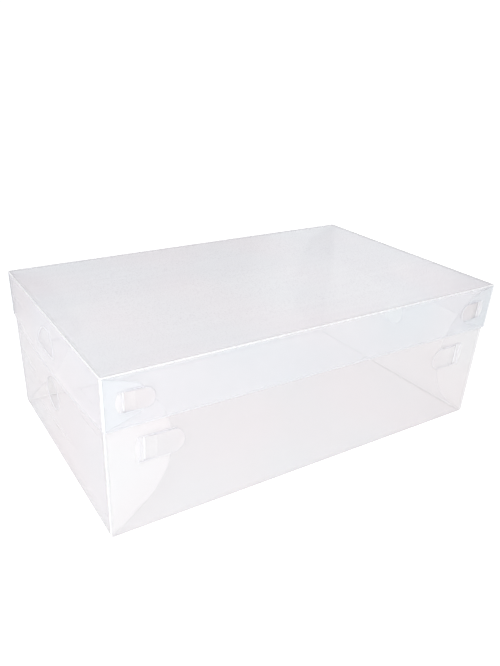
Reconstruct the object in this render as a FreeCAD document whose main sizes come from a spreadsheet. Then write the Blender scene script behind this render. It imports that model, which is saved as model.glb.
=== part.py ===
import FreeCAD, Part
import os
import re

import Sketcher

# Folding shoe box made from two die-cut and creased sheets of clear polypropylene.
#
# Body sheet: a base panel with four walls. Each end wall carries a flap at either side, which folds
# round the corner and lies inside the long wall. A tongue cut free in the flap passes out through a
# window in the long wall and hooks over the wall's outer face.
# Lid sheet: a top panel with four skirts, locked at the corners in the same way.
#
# Origin at the middle of the underside, X along the length, front towards -Y, +Z up. The front left
# corner is drawn, and the other corners are mirror images of it. Outwards from the inside of the box
# the sheets lie one ply apart, a ply being the sheet's gauge and the gap to the next sheet:
# body flap, long wall, lid flap, lid skirt, lid tongue.

DIMENSIONS = (
    ("box_length", 330.0, "over the creases at the lid's two ends"),
    ("box_width", 200.0, "over the lid's lock tongues"),
    ("box_height", 118.0, "underside to lid top"),
    ("sheet_gauge", 0.5, "sheet thickness"),
    ("ply_gap", 0.4, "clearance between sheets that lie against each other"),
    ("bend_radius", 1.0, "outside radius of a fixed crease"),
    ("bead_radius", 0.35, "radius of the bead along a crease that hinges"),
    ("hinge_clearance", 0.3, "from the bead to the panel that swings on it"),
    ("bead_neck", 1.0, "from the axis of a top crease to the edge of the top panel"),
    ("skirt_depth", 36.5, "lid top to the lower edge of the skirts"),
    ("skirt_bow", 4.5, "how far an end skirt's lower edge bows outwards at its middle"),
    ("thumb_width", 35.0, "half-moon thumb opening in an end skirt"),
    ("thumb_height", 15.0, "its height over the straight side"),
    ("thumb_drop", 25.0, "lid top to its straight side"),
    ("finger_hole", 24.0, "diameter of the finger hole in an end wall"),
    ("finger_height", 58.0, "height of its centre"),
    ("flap_reach", 45.0, "box corner to the nose of a body flap"),
    ("flap_shoulder", 29.0, "box corner to where a body flap's flank meets its nose"),
    ("flap_nose", 79.0, "height of the rounded nose of a body flap"),
    ("flap_middle", 62.5, "height of the middle of that nose"),
    ("flap_foot", 1.5, "height of a body flap's lower end"),
    ("flap_head", 1.5, "from a body flap's upper end to the top edge of the walls"),
    ("lock_height", 61.5, "height of the middle of the body locks"),
    ("window_start", 21.5, "box corner to a body window"),
    ("window_length", 26.0, "length of a body window between the ends of its straight sides"),
    ("window_height", 18.0, "height of a body window"),
    ("window_bulge", 2.5, "rise of a window's curved ends"),
    ("tongue_clearance", 0.5, "tongue to each straight side of its window and of its slot"),
    ("tongue_root", 25.7, "box corner to the fold at the root of a body tongue"),
    ("tongue_reach", 53.5, "box corner to the tip of a body tongue"),
    ("tongue_ramp", 8.0, "length over which a body tongue passes outwards"),
    ("tongue_lead", 0.8, "straight length at a tongue's root"),
    ("tip_rise", 6.0, "rise of a tongue's rounded tip"),
    ("lid_flap_reach", 29.0, "box corner to the nose of a lid flap"),
    ("lid_flap_shoulder", 19.0, "box corner to where a lid flap's flank meets its nose"),
    ("lid_flap_nose", 23.0, "height of the rounded nose of a lid flap"),
    ("lid_flap_head", 1.5, "lid top to a lid flap's upper end"),
    ("lid_flap_foot", 0.5, "from a lid flap's lower end to the skirt's lower edge"),
    ("lid_lock_drop", 19.0, "lid top to the middle of the lid locks"),
    ("lid_window_start", 10.5, "box corner to a lid window"),
    ("lid_window_length", 15.5, "length of a lid window between the ends of its straight sides"),
    ("lid_window_height", 14.0, "height of a lid window"),
    ("lid_tongue_root", 13.0, "box corner to the fold at the root of a lid tongue"),
    ("lid_tongue_reach", 33.0, "box corner to the tip of a lid tongue"),
    ("lid_tongue_ramp", 7.0, "length over which a lid tongue passes outwards"),
    ("lid_tip_rise", 4.0, "rise of a lid tongue's rounded tip"),
)

doc = FreeCAD.newDocument("ShoeBox")
sheet = doc.addObject("Spreadsheet::Sheet", "Sizes")
for row, (alias, value, meaning) in enumerate(DIMENSIONS, start=1):
    sheet.set(f"A{row}", alias)
    sheet.set(f"B{row}", str(value))
    sheet.set(f"C{row}", meaning)
    sheet.setAlias(f"B{row}", alias)
doc.recompute()

ALIASES = re.compile(r"\b(" + "|".join(alias for alias, _, _ in DIMENSIONS) + r")\b")

# Lengths that follow from the sheet's dimensions, all measured from the middle of the box.
PLY = "(sheet_gauge + ply_gap)"
HALF_GAUGE = "(sheet_gauge / 2)"
LID_AXIS_X = "(box_length / 2 - bead_radius)"
LID_AXIS_Y = f"(box_width / 2 - {PLY} - {HALF_GAUGE})"
LID_AXIS_Z = "(box_height - bead_radius)"
LID_FLAP_Y = f"({LID_AXIS_Y} - {PLY})"
LONG_WALL_Y = f"({LID_FLAP_Y} - {PLY})"
BODY_FLAP_Y = f"({LONG_WALL_Y} - {PLY})"
END_WALL_X = f"({LID_AXIS_X} - {PLY})"
WALL_TOP = f"({LID_AXIS_Z} - {HALF_GAUGE})"
SKIRT_TOP = f"({LID_AXIS_Z} - bead_radius - hinge_clearance)"
SKIRT_FOOT = "(box_height - skirt_depth)"
BASE_HALF_LENGTH = f"({END_WALL_X} + {HALF_GAUGE} - bend_radius)"
BASE_HALF_WIDTH = f"({LONG_WALL_Y} + {HALF_GAUGE} - bend_radius)"
END_WALL_HALF = f"({BODY_FLAP_Y} + {HALF_GAUGE} - bend_radius)"
END_SKIRT_HALF = f"({LID_FLAP_Y} + {HALF_GAUGE} - bend_radius)"
SKIRT_BEND_X = f"({LID_AXIS_X} + {HALF_GAUGE} - bend_radius)"
LID_LOCK_HEIGHT = "(box_height - lid_lock_drop)"
TONGUE_HEIGHT = "(window_height - 2 * tongue_clearance)"
LID_TONGUE_HEIGHT = "(lid_window_height - 2 * tongue_clearance)"


def bound(text):
    """The expression that FreeCAD reads, with each dimension's name pointing at the sheet."""
    return ALIASES.sub(r"Sizes.\1", text)


def number(text):
    """The value of an expression at the present dimensions."""
    return float(sheet.evalExpression(bound(text)))


def from_corner(distance):
    """X of a point at this distance from the box's left end."""
    return f"({distance} - box_length / 2)"


def arc_radius(chord, rise):
    """Radius of the arc that rises this far over its chord."""
    return f"(({chord})^2 / (8 * ({rise})) + ({rise}) / 2)"


def new_sketch(owner, plane, name):
    """A sketch in the XY, XZ or YZ plane of a body, or of the document if there is no body."""
    if owner is None:
        sketch = doc.addObject("Sketcher::SketchObject", name)
        turns = {
            "XY": FreeCAD.Rotation(),
            "XZ": FreeCAD.Rotation(FreeCAD.Vector(1, 0, 0), 90),
            "YZ": FreeCAD.Rotation(0.5, 0.5, 0.5, 0.5),
        }
        sketch.Placement = FreeCAD.Placement(FreeCAD.Vector(), turns[plane])
        return sketch
    sketch = owner.newObject("Sketcher::SketchObject", name)
    planes = [item for item in owner.Origin.OriginFeatures if item.Role == f"{plane}_Plane"]
    sketch.AttachmentSupport = [(planes[0], "")]
    sketch.MapMode = "FlatFace"
    return sketch


def drive(sketch, constraint, name, expression):
    """Adds a constraint whose value the sheet drives."""
    index = sketch.addConstraint(constraint)
    sketch.renameConstraint(index, name)
    sketch.setExpression(f"Constraints.{name}", bound(expression))


def outline(sketch, corners, arcs=None):
    """Closes a loop through corners, given as pairs of expressions, anticlockwise.

    arcs gives the edges that are arcs, as {edge: (side, radius)}: side is 1 where the arc stands out
    of the loop and -1 where it stands into it. Edge 0 leaves the first corner.
    """
    arcs = arcs or {}
    points = [FreeCAD.Vector(number(across), number(up), 0) for across, up in corners]
    ends = []
    for edge, start in enumerate(points):
        finish = points[(edge + 1) % len(points)]
        if edge in arcs:
            side, radius = arcs[edge]
            reach = number(radius)
            half = (finish - start) / 2
            rise = reach - (reach * reach - half.Length**2) ** 0.5
            outwards = FreeCAD.Vector(half.y, -half.x, 0).normalize()
            curve = Part.Arc(start, start + half + outwards * (side * rise), finish)
        else:
            curve = Part.LineSegment(start, finish)
        item = sketch.addGeometry(curve, False)
        forwards = sketch.getPoint(item, 1).distanceToPoint(start) < 1e-6
        ends.append((item, 1, 2) if forwards else (item, 2, 1))
    for edge, (item, first, _) in enumerate(ends):
        previous, _, last = ends[edge - 1]
        sketch.addConstraint(Sketcher.Constraint("Coincident", previous, last, item, first))
        for kind, expression in zip(("DistanceX", "DistanceY"), corners[edge]):
            value = number(expression)
            if value == 0:
                flat = "Y" if kind == "DistanceX" else "X"
                axis = -2 if flat == "Y" else -1
                sketch.addConstraint(Sketcher.Constraint("PointOnObject", item, first, axis))
                continue
            constraint = Sketcher.Constraint(kind, -1, 1, item, first, value)
            drive(sketch, constraint, f"corner_{edge}_{kind[-1].lower()}", expression)
        if edge in arcs:
            radius = arcs[edge][1]
            drive(sketch, Sketcher.Constraint("Radius", item, number(radius)), f"arc_{edge}", radius)


def circle(sketch, centre, radius):
    """A circle whose centre and radius the sheet drives."""
    across, up = (number(expression) for expression in centre)
    middle, upright = FreeCAD.Vector(across, up, 0), FreeCAD.Vector(0, 0, 1)
    item = sketch.addGeometry(Part.Circle(middle, upright, number(radius)))
    if across == 0:
        sketch.addConstraint(Sketcher.Constraint("PointOnObject", item, 3, -2))
    else:
        drive(sketch, Sketcher.Constraint("DistanceX", -1, 1, item, 3, across), "centre_x", centre[0])
    drive(sketch, Sketcher.Constraint("DistanceY", -1, 1, item, 3, up), "centre_y", centre[1])
    drive(sketch, Sketcher.Constraint("Radius", item, number(radius)), "radius", radius)


def rectangle(low, high):
    """Corners of an upright rectangle between two opposite corners."""
    return [(low[0], low[1]), (high[0], low[1]), (high[0], high[1]), (low[0], high[1])]


def new_body(label, **offset):
    """A body, set off from the origin along an axis by an expression, such as y="wall"."""
    body = doc.addObject("PartDesign::Body", label)
    body.Label = label
    for axis, expression in offset.items():
        body.setExpression(f".Placement.Base.{axis}", bound(expression))
    return body


def pad(body, plane, length, draw, name):
    """Pads a sketch equally to both sides of its plane. draw puts the outline into the sketch."""
    sketch = new_sketch(body, plane, f"{body.Label}_{name}_sketch")
    draw(sketch)
    feature = body.newObject("PartDesign::Pad", f"{body.Label}_{name}")
    feature.Profile = sketch
    feature.SideType = "Symmetric"
    feature.setExpression("Length", bound(length))


def pocket(body, plane, draw, name):
    """Cuts a sketch right through a sheet that lies in the sketch's plane."""
    sketch = new_sketch(body, plane, f"{body.Label}_{name}_sketch")
    draw(sketch)
    feature = body.newObject("PartDesign::Pocket", f"{body.Label}_{name}")
    feature.Profile = sketch
    feature.SideType = "Symmetric"
    feature.setExpression("Length", bound("4 * sheet_gauge"))


def extrusion(plane, length, draw, name, **offset):
    """Extrudes a sketch equally to both sides of its plane, outside any body."""
    sketch = new_sketch(None, plane, f"{name}_sketch")
    for axis, expression in offset.items():
        sketch.setExpression(f".Placement.Base.{axis}", bound(expression))
    draw(sketch)
    solid = doc.addObject("Part::Extrusion", name)
    solid.Base = sketch
    solid.DirMode = "Normal"
    solid.Solid = True
    solid.Symmetric = True
    solid.setExpression("LengthFwd", bound(length))
    return solid


def mirrored(source, label, normal):
    """The mirror image of a piece across the box's middle plane with this normal."""
    image = doc.addObject("Part::Mirroring", label)
    image.Label = label
    image.Source = source
    image.Normal = normal
    return image


ACROSS_LENGTH = FreeCAD.Vector(1, 0, 0)
ACROSS_WIDTH = FreeCAD.Vector(0, 1, 0)


def front_and_back(piece, label):
    """A piece at the front and its image at the back."""
    return [piece, mirrored(piece, label, ACROSS_WIDTH)]


def left_and_right(piece, label):
    """A piece at the left end and its image at the right end."""
    return [piece, mirrored(piece, label, ACROSS_LENGTH)]


def four_corners(piece, pattern):
    """A front left piece and its images at the other three corners."""
    right = mirrored(piece, pattern.format("front_right"), ACROSS_LENGTH)
    back = mirrored(piece, pattern.format("back_left"), ACROSS_WIDTH)
    return [piece, right, back, mirrored(right, pattern.format("back_right"), ACROSS_WIDTH)]


# Outlines that the body and the lid share.


def window_outline(side, start, length, middle, height):
    """A lock window near one end: straight above and below, with ends that bulge outwards."""
    near, far = f"box_length / 2 - {start}", f"box_length / 2 - {start} - {length}"
    low, high = f"{middle} - {height} / 2", f"{middle} + {height} / 2"
    left, right = (f"-({near})", f"-({far})") if side < 0 else (far, near)
    bulge = arc_radius(height, "window_bulge")
    ends = {1: (1, bulge), 3: (1, bulge)}
    return lambda sketch: outline(sketch, rectangle((left, low), (right, high)), ends)


def flap_outline(root, shoulder, reach, foot, head, middle, nose):
    """A corner flap: straight root, slanting flanks and a rounded nose."""
    corners = [
        (root, foot),
        (from_corner(shoulder), f"{middle} - {nose} / 2"),
        (from_corner(shoulder), f"{middle} + {nose} / 2"),
        (root, head),
    ]
    radius = arc_radius(nose, f"{reach} - {shoulder}")
    return lambda sketch: outline(sketch, corners, {1: (1, radius)})


def slot_outline(root, reach, middle, height):
    """The slot left in a flap where its tongue is cut free, open at the flap's nose."""
    low = f"{middle} - {height} / 2 - tongue_clearance"
    high = f"{middle} + {height} / 2 + tongue_clearance"
    return lambda sketch: outline(sketch, rectangle((from_corner(root), low), (from_corner(reach), high)))


def bend_outline(across, along, side):
    """The quarter ring of a sheet bent from the plane across into the plane along, in a corner.

    across and along place the ring's centre; side is where the second plane lies.
    """
    inner = "(bend_radius - sheet_gauge)"
    corners = [
        (f"{across} - bend_radius", along),
        (across, f"{along} - bend_radius"),
        (across, f"{along} - {inner}"),
        (f"{across} - {inner}", along),
    ]
    return lambda sketch: outline(sketch, corners, {0: (side, "bend_radius"), 2: (-side, inner)})


def tongue(label, plane_y, root, ramp, reach, middle, height, rise):
    """A tongue that leaves its flap at the root, ramps outwards by two plies and ends in a round tip."""
    inside, outside = f"-{plane_y}", f"-({plane_y} + 2 * {PLY})"
    leave = from_corner(f"{root} + tongue_lead")
    land = from_corner(f"{root} + tongue_lead + {ramp}")
    start, tip = from_corner(root), from_corner(reach)
    path = [
        (start, f"{inside} - {HALF_GAUGE}"),
        (leave, f"{inside} - {HALF_GAUGE}"),
        (land, f"{outside} - {HALF_GAUGE}"),
        (tip, f"{outside} - {HALF_GAUGE}"),
        (tip, f"{outside} + {HALF_GAUGE}"),
        (land, f"{outside} + {HALF_GAUGE}"),
        (leave, f"{inside} + {HALF_GAUGE}"),
        (start, f"{inside} + {HALF_GAUGE}"),
    ]
    strip = extrusion("XY", height, lambda sketch: outline(sketch, path), f"{label}_strip", z=middle)
    low, high = f"{middle} - {height} / 2", f"{middle} + {height} / 2"
    shoulder = from_corner(f"{reach} - {rise}")
    face = rectangle((start, low), (shoulder, high))
    tip_arc = {1: (1, arc_radius(height, rise))}
    draw_blank = lambda sketch: outline(sketch, face, tip_arc)
    blank = extrusion("XZ", "2 * box_width", draw_blank, f"{label}_blank")
    piece = doc.addObject("Part::Common", label)
    piece.Label = label
    piece.Base = strip
    piece.Tool = blank
    return piece


# Body sheet.


def make_base():
    """The base panel, which stops where its four creases begin."""
    body = new_body("base_panel", z=HALF_GAUGE)
    corners = rectangle(
        (f"-{BASE_HALF_LENGTH}", f"-{BASE_HALF_WIDTH}"), (BASE_HALF_LENGTH, BASE_HALF_WIDTH)
    )
    pad(body, "XY", "sheet_gauge", lambda sketch: outline(sketch, corners), "sheet")
    return [body]


def make_long_walls():
    """The front and back walls, each with a lock window near either end."""
    body = new_body("front_wall", y=f"-{LONG_WALL_Y}")
    half = f"({END_WALL_X} + {HALF_GAUGE})"
    corners = rectangle((f"-{half}", "bend_radius"), (half, WALL_TOP))
    pad(body, "XZ", "sheet_gauge", lambda sketch: outline(sketch, corners), "sheet")
    for side, name in ((-1, "left_window"), (1, "right_window")):
        draw = window_outline(side, "window_start", "window_length", "lock_height", "window_height")
        pocket(body, "XZ", draw, name)
    return front_and_back(body, "back_wall")


def make_end_walls():
    """The end walls, each with a round finger hole below the lid."""
    body = new_body("left_end_wall", x=f"-{END_WALL_X}")
    corners = rectangle((f"-{END_WALL_HALF}", "bend_radius"), (END_WALL_HALF, WALL_TOP))
    pad(body, "YZ", "sheet_gauge", lambda sketch: outline(sketch, corners), "sheet")
    hole_middle = ("0", "finger_height")
    pocket(body, "YZ", lambda sketch: circle(sketch, hole_middle, "finger_hole / 2"), "finger_hole")
    return left_and_right(body, "right_end_wall")


def make_base_creases():
    """The four creases between the base and the walls."""
    front = new_body("front_base_crease")
    draw = bend_outline(f"-{BASE_HALF_WIDTH}", "bend_radius", 1)
    pad(front, "YZ", f"2 * {BASE_HALF_LENGTH}", draw, "bend")
    left = new_body("left_base_crease")
    draw = bend_outline(f"-{BASE_HALF_LENGTH}", "bend_radius", 1)
    pad(left, "XZ", f"2 * {END_WALL_HALF}", draw, "bend")
    return front_and_back(front, "back_base_crease") + left_and_right(left, "right_base_crease")


def make_corner_creases():
    """The upright creases from the end walls to the body flaps, each ending in its hinge bead."""
    flap_top = f"({WALL_TOP} - flap_head)"
    body = new_body("front_left_corner_crease", z=f"({flap_top} + flap_foot) / 2")
    height = f"{flap_top} - flap_foot"
    pad(body, "XY", height, bend_outline(f"-{BASE_HALF_LENGTH}", f"-{END_WALL_HALF}", 1), "bend")
    centre = (f"-{BASE_HALF_LENGTH}", f"-{BODY_FLAP_Y}")
    pad(body, "XY", height, lambda sketch: circle(sketch, centre, "bead_radius"), "bead")
    return four_corners(body, "{}_corner_crease")


def make_body_flaps():
    """The flaps that swing on the corner creases."""
    body = new_body("front_left_flap", y=f"-{BODY_FLAP_Y}")
    root = f"(bead_radius + hinge_clearance - {BASE_HALF_LENGTH})"
    draw = flap_outline(
        root, "flap_shoulder", "flap_reach", "flap_foot", f"{WALL_TOP} - flap_head", "flap_middle", "flap_nose"
    )
    pad(body, "XZ", "sheet_gauge", draw, "sheet")
    pocket(body, "XZ", slot_outline("tongue_root", "flap_reach + 1", "lock_height", TONGUE_HEIGHT), "slot")
    return four_corners(body, "{}_flap")


def make_body_tongues():
    """The tongues that lock the body flaps to the long walls."""
    piece = tongue(
        "front_left_tongue",
        BODY_FLAP_Y,
        "tongue_root",
        "tongue_ramp",
        "tongue_reach",
        "lock_height",
        TONGUE_HEIGHT,
        "tip_rise",
    )
    return four_corners(piece, "{}_tongue")


# Lid sheet.


def make_lid_top():
    """The top panel, which stops at the necks of its four creases."""
    body = new_body("lid_top_panel", z=LID_AXIS_Z)
    half_length, half_width = f"({LID_AXIS_X} - bead_neck)", f"({LID_AXIS_Y} - bead_neck)"
    corners = rectangle((f"-{half_length}", f"-{half_width}"), (half_length, half_width))
    pad(body, "XY", "sheet_gauge", lambda sketch: outline(sketch, corners), "sheet")
    return [body]


def make_lid_crease(label, plane, axis, length):
    """A top crease: a hinge bead on a short neck from the top panel."""
    body = new_body(label)
    low = (f"-{axis}", f"{LID_AXIS_Z} - {HALF_GAUGE}")
    high = (f"bead_neck - {axis}", f"{LID_AXIS_Z} + {HALF_GAUGE}")
    pad(body, plane, length, lambda sketch: outline(sketch, rectangle(low, high)), "neck")
    centre = (f"-{axis}", LID_AXIS_Z)
    pad(body, plane, length, lambda sketch: circle(sketch, centre, "bead_radius"), "bead")
    return body


def make_lid_creases():
    """The four creases round the top panel."""
    front = make_lid_crease("lid_front_crease", "YZ", LID_AXIS_Y, f"2 * ({LID_AXIS_X} - bead_neck)")
    left = make_lid_crease("lid_left_crease", "XZ", LID_AXIS_X, f"2 * {END_SKIRT_HALF}")
    return front_and_back(front, "lid_back_crease") + left_and_right(left, "lid_right_crease")


def make_long_skirts():
    """The front and back skirts, each with a lock window near either end."""
    body = new_body("lid_front_skirt", y=f"-{LID_AXIS_Y}")
    half = f"({LID_AXIS_X} + {HALF_GAUGE})"
    corners = rectangle((f"-{half}", SKIRT_FOOT), (half, SKIRT_TOP))
    pad(body, "XZ", "sheet_gauge", lambda sketch: outline(sketch, corners), "sheet")
    for side, name in ((-1, "left_window"), (1, "right_window")):
        draw = window_outline(
            side, "lid_window_start", "lid_window_length", LID_LOCK_HEIGHT, "lid_window_height"
        )
        pocket(body, "XZ", draw, name)
    return front_and_back(body, "lid_back_skirt")


def make_end_skirts():
    """The end skirts: straight along the top, bowed out along the lower edge, with a thumb opening."""
    outer, inner = f"-({LID_AXIS_X} + {HALF_GAUGE})", f"-({LID_AXIS_X} - {HALF_GAUGE})"
    corners = rectangle((outer, f"-{END_SKIRT_HALF}"), (inner, END_SKIRT_HALF))
    bow = arc_radius(f"2 * {END_SKIRT_HALF}", "skirt_bow")
    edges = []
    for name, height, arcs in (("top", SKIRT_TOP, {}), ("foot", SKIRT_FOOT, {1: (-1, bow), 3: (1, bow)})):
        edge = new_sketch(None, "XY", f"lid_left_skirt_{name}_sketch")
        edge.setExpression(".Placement.Base.z", bound(height))
        outline(edge, corners, arcs)
        edges.append(edge)
    bowed = doc.addObject("Part::Loft", "lid_left_skirt_sheet")
    bowed.Sections = edges
    bowed.Solid = True
    bowed.Ruled = True
    side = "box_height - thumb_drop"
    thumb = [("thumb_width / 2", side), ("-thumb_width / 2", side)]
    flat = extrusion(
        "YZ",
        "2 * box_length",
        lambda sketch: outline(sketch, thumb, {0: (1, arc_radius("thumb_width", "thumb_height"))}),
        "lid_left_skirt_thumb_opening",
    )
    piece = doc.addObject("Part::Cut", "lid_left_skirt")
    piece.Label = "lid_left_skirt"
    piece.Base = bowed
    piece.Tool = flat
    return left_and_right(piece, "lid_right_skirt")


def make_lid_corner_creases():
    """The upright bends from the end skirts to the lid flaps."""
    head, foot = "(box_height - lid_flap_head)", f"({SKIRT_FOOT} + lid_flap_foot)"
    body = new_body("lid_front_left_corner_crease", z=f"({head} + {foot}) / 2")
    draw = bend_outline(f"-{SKIRT_BEND_X}", f"-{END_SKIRT_HALF}", 1)
    pad(body, "XY", f"{head} - {foot}", draw, "bend")
    return four_corners(body, "lid_{}_corner_crease")


def make_lid_flaps():
    """The flaps that lie between the lid's long skirts and the long walls."""
    body = new_body("lid_front_left_flap", y=f"-{LID_FLAP_Y}")
    draw = flap_outline(
        f"-{SKIRT_BEND_X}",
        "lid_flap_shoulder",
        "lid_flap_reach",
        f"{SKIRT_FOOT} + lid_flap_foot",
        "box_height - lid_flap_head",
        LID_LOCK_HEIGHT,
        "lid_flap_nose",
    )
    pad(body, "XZ", "sheet_gauge", draw, "sheet")
    draw = slot_outline("lid_tongue_root", "lid_flap_reach + 1", LID_LOCK_HEIGHT, LID_TONGUE_HEIGHT)
    pocket(body, "XZ", draw, "slot")
    return four_corners(body, "lid_{}_flap")


def make_lid_tongues():
    """The tongues that lock the lid flaps to the long skirts."""
    piece = tongue(
        "lid_front_left_tongue",
        LID_FLAP_Y,
        "lid_tongue_root",
        "lid_tongue_ramp",
        "lid_tongue_reach",
        LID_LOCK_HEIGHT,
        LID_TONGUE_HEIGHT,
        "lid_tip_rise",
    )
    return four_corners(piece, "lid_{}_tongue")


pieces = []
for make in (
    make_base,
    make_long_walls,
    make_end_walls,
    make_base_creases,
    make_corner_creases,
    make_body_flaps,
    make_body_tongues,
    make_lid_top,
    make_lid_creases,
    make_long_skirts,
    make_end_skirts,
    make_lid_corner_creases,
    make_lid_flaps,
    make_lid_tongues,
):
    pieces += make()
doc.recompute()

faults = [item.Label for item in doc.Objects if {"Invalid", "Error"} & set(item.State)]
faults += [piece.Label for piece in pieces if piece.Shape.isNull() or not piece.Shape.isValid()]
faults += [piece.Label for piece in pieces if len(piece.Shape.Solids) != 1]
for item in doc.Objects:
    if item.TypeId == "PartDesign::Pocket" and item.Shape.Volume >= item.BaseFeature.Shape.Volume:
        faults.append(f"{item.Label} cuts nothing")
if faults:
    raise RuntimeError(f"features that failed: {sorted(set(faults))}")

os.makedirs("parts", exist_ok=True)
for piece in pieces:
    piece.Shape.exportStep(f"parts/{piece.Label}.step")
print(f"{len(pieces)} pieces written")
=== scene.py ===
"""Visual model of a folding shoe box in frosted polypropylene sheet, in metres.

The box is two creased, die-cut sheets: a body and a lift-off lid. The middle of its underside is the
origin, its length runs along X, its width along Y, and its front faces -Y.
"""

import logging
from dataclasses import dataclass, field
from enum import Enum

import bpy
import numpy as np
from mathutils import Matrix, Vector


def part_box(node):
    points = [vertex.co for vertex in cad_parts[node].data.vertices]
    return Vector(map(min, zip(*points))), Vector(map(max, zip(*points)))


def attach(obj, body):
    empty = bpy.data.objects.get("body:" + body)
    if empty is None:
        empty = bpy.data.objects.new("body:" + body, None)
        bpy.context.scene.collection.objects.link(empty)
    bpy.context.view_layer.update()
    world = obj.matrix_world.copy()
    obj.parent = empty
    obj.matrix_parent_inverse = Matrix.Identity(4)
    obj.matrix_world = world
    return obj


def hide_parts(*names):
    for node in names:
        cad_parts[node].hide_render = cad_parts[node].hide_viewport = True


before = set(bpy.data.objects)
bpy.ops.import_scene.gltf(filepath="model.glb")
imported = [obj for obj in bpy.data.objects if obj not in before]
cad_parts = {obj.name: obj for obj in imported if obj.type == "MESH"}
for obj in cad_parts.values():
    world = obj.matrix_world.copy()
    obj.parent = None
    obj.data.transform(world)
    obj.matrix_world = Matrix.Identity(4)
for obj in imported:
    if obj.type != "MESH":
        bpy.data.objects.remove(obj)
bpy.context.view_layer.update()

MM = 0.001
WHITE = (1.0, 1.0, 1.0, 1.0)
PLASTIC_IOR = 1.49
# What a Map Range node takes noise from: the values between which it mostly stays, and between which
# noise with no finer detail does.
NOISE_SPAN = {1: 0.3, 2: 0.7}
CLOUD_SPAN = {1: 0.35, 2: 0.65}

log = logging.getLogger("shoe_box")


class Axis(Enum):
    """The two level directions of the box, numbered as X and Y."""

    LENGTH = 0
    WIDTH = 1


class End(Enum):
    """The two short ends of the box, with the sign of their X."""

    LEFT = -1
    RIGHT = 1


class Side(Enum):
    """The two long sides of the box, with the sign of their Y."""

    FRONT = -1
    BACK = 1


CORNERS = tuple((side, end) for side in Side for end in End)
ALONG_LENGTH = np.array([1.0, 0.0, 0.0])
ALONG_WIDTH = np.array([0.0, 1.0, 0.0])
UPWARDS = np.array([0.0, 0.0, 1.0])


def corner_name(side: Side, end: End) -> str:
    """The name of a corner, such as front_left."""
    return f"{side.name.lower()}_{end.name.lower()}"


# Meshes.


def quads(
    rows: int, columns: int, wrap_rows: bool = False, wrap_columns: bool = False
) -> np.ndarray:
    """Numbers the faces of a grid of points.

    Args:
        rows: Points along the first parameter.
        columns: Points along the second parameter.
        wrap_rows: The last row joins the first.
        wrap_columns: The last column joins the first.

    Returns:
        One row of four point numbers for each face.
    """
    i = np.arange(rows if wrap_rows else rows - 1)[:, None]
    j = np.arange(columns if wrap_columns else columns - 1)[None, :]
    below, right = (i + 1) % rows, (j + 1) % columns
    corners = (i * columns + j, below * columns + j, below * columns + right, i * columns + right)
    return np.stack([np.broadcast_to(c, (i.size, j.size)) for c in corners], axis=-1).reshape(-1, 4)


def make_piece(name: str, points: np.ndarray, faces: np.ndarray) -> bpy.types.Object:
    """Puts points and faces into a new smooth-shaded object that sits at the origin.

    Args:
        name: The piece's name.
        points: Its points in metres.
        faces: Four point numbers a face.

    Returns:
        The new object.
    """
    mesh = bpy.data.meshes.new(name)
    mesh.from_pydata(points.reshape(-1, 3).tolist(), [], faces.tolist())
    mesh.polygons.foreach_set("use_smooth", np.full(len(mesh.polygons), True))
    mesh.update()
    piece = bpy.data.objects.new(name, mesh)
    bpy.context.scene.collection.objects.link(piece)
    return piece


def joined(parts: list[tuple[np.ndarray, np.ndarray]]) -> tuple[np.ndarray, np.ndarray]:
    """Puts several sets of points and faces one after another, with the faces renumbered."""
    starts = np.cumsum([0] + [len(points) for points, _ in parts[:-1]])
    return (
        np.concatenate([points for points, _ in parts]),
        np.concatenate([faces + start for (_, faces), start in zip(parts, starts)]),
    )


def sheet_shell(middle: np.ndarray, gauge: float, wrap: bool = False) -> tuple[np.ndarray, np.ndarray]:
    """Gives a surface its thickness, half a gauge to either side along its normal, and closes its rim.

    Args:
        middle: Grid of points, rows by columns by 3, halfway through the sheet.
        gauge: Thickness of the sheet.
        wrap: The last row joins the first.

    Returns:
        Points and faces of the closed shell.
    """
    if wrap:
        along = np.roll(middle, -1, axis=0) - np.roll(middle, 1, axis=0)
    else:
        along = np.gradient(middle, axis=0)
    normal = np.cross(along, np.gradient(middle, axis=1))
    normal /= np.linalg.norm(normal, axis=-1, keepdims=True)
    rows, columns = middle.shape[:2]
    upper = (middle + normal * gauge / 2).reshape(-1, 3)
    lower = (middle - normal * gauge / 2).reshape(-1, 3)
    face = quads(rows, columns, wrap_rows=wrap)
    count = rows * columns
    number = np.arange(count).reshape(rows, columns)
    rims = []
    ahead = np.roll(number, -1, axis=0) if wrap else number[1:]
    behind = number if wrap else number[:-1]
    a, b = behind[:, 0], ahead[:, 0]
    rims.append(np.stack([a, a + count, b + count, b], -1))
    a, b = behind[:, -1], ahead[:, -1]
    rims.append(np.stack([a, b, b + count, a + count], -1))
    if not wrap:
        first, last = number[0], number[-1]
        rims.append(np.stack([first[:-1], first[1:], first[1:] + count, first[:-1] + count], -1))
        rims.append(np.stack([last[:-1], last[:-1] + count, last[1:] + count, last[1:]], -1))
    return np.concatenate([upper, lower]), np.concatenate([face, face[:, ::-1] + count, *rims])


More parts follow.
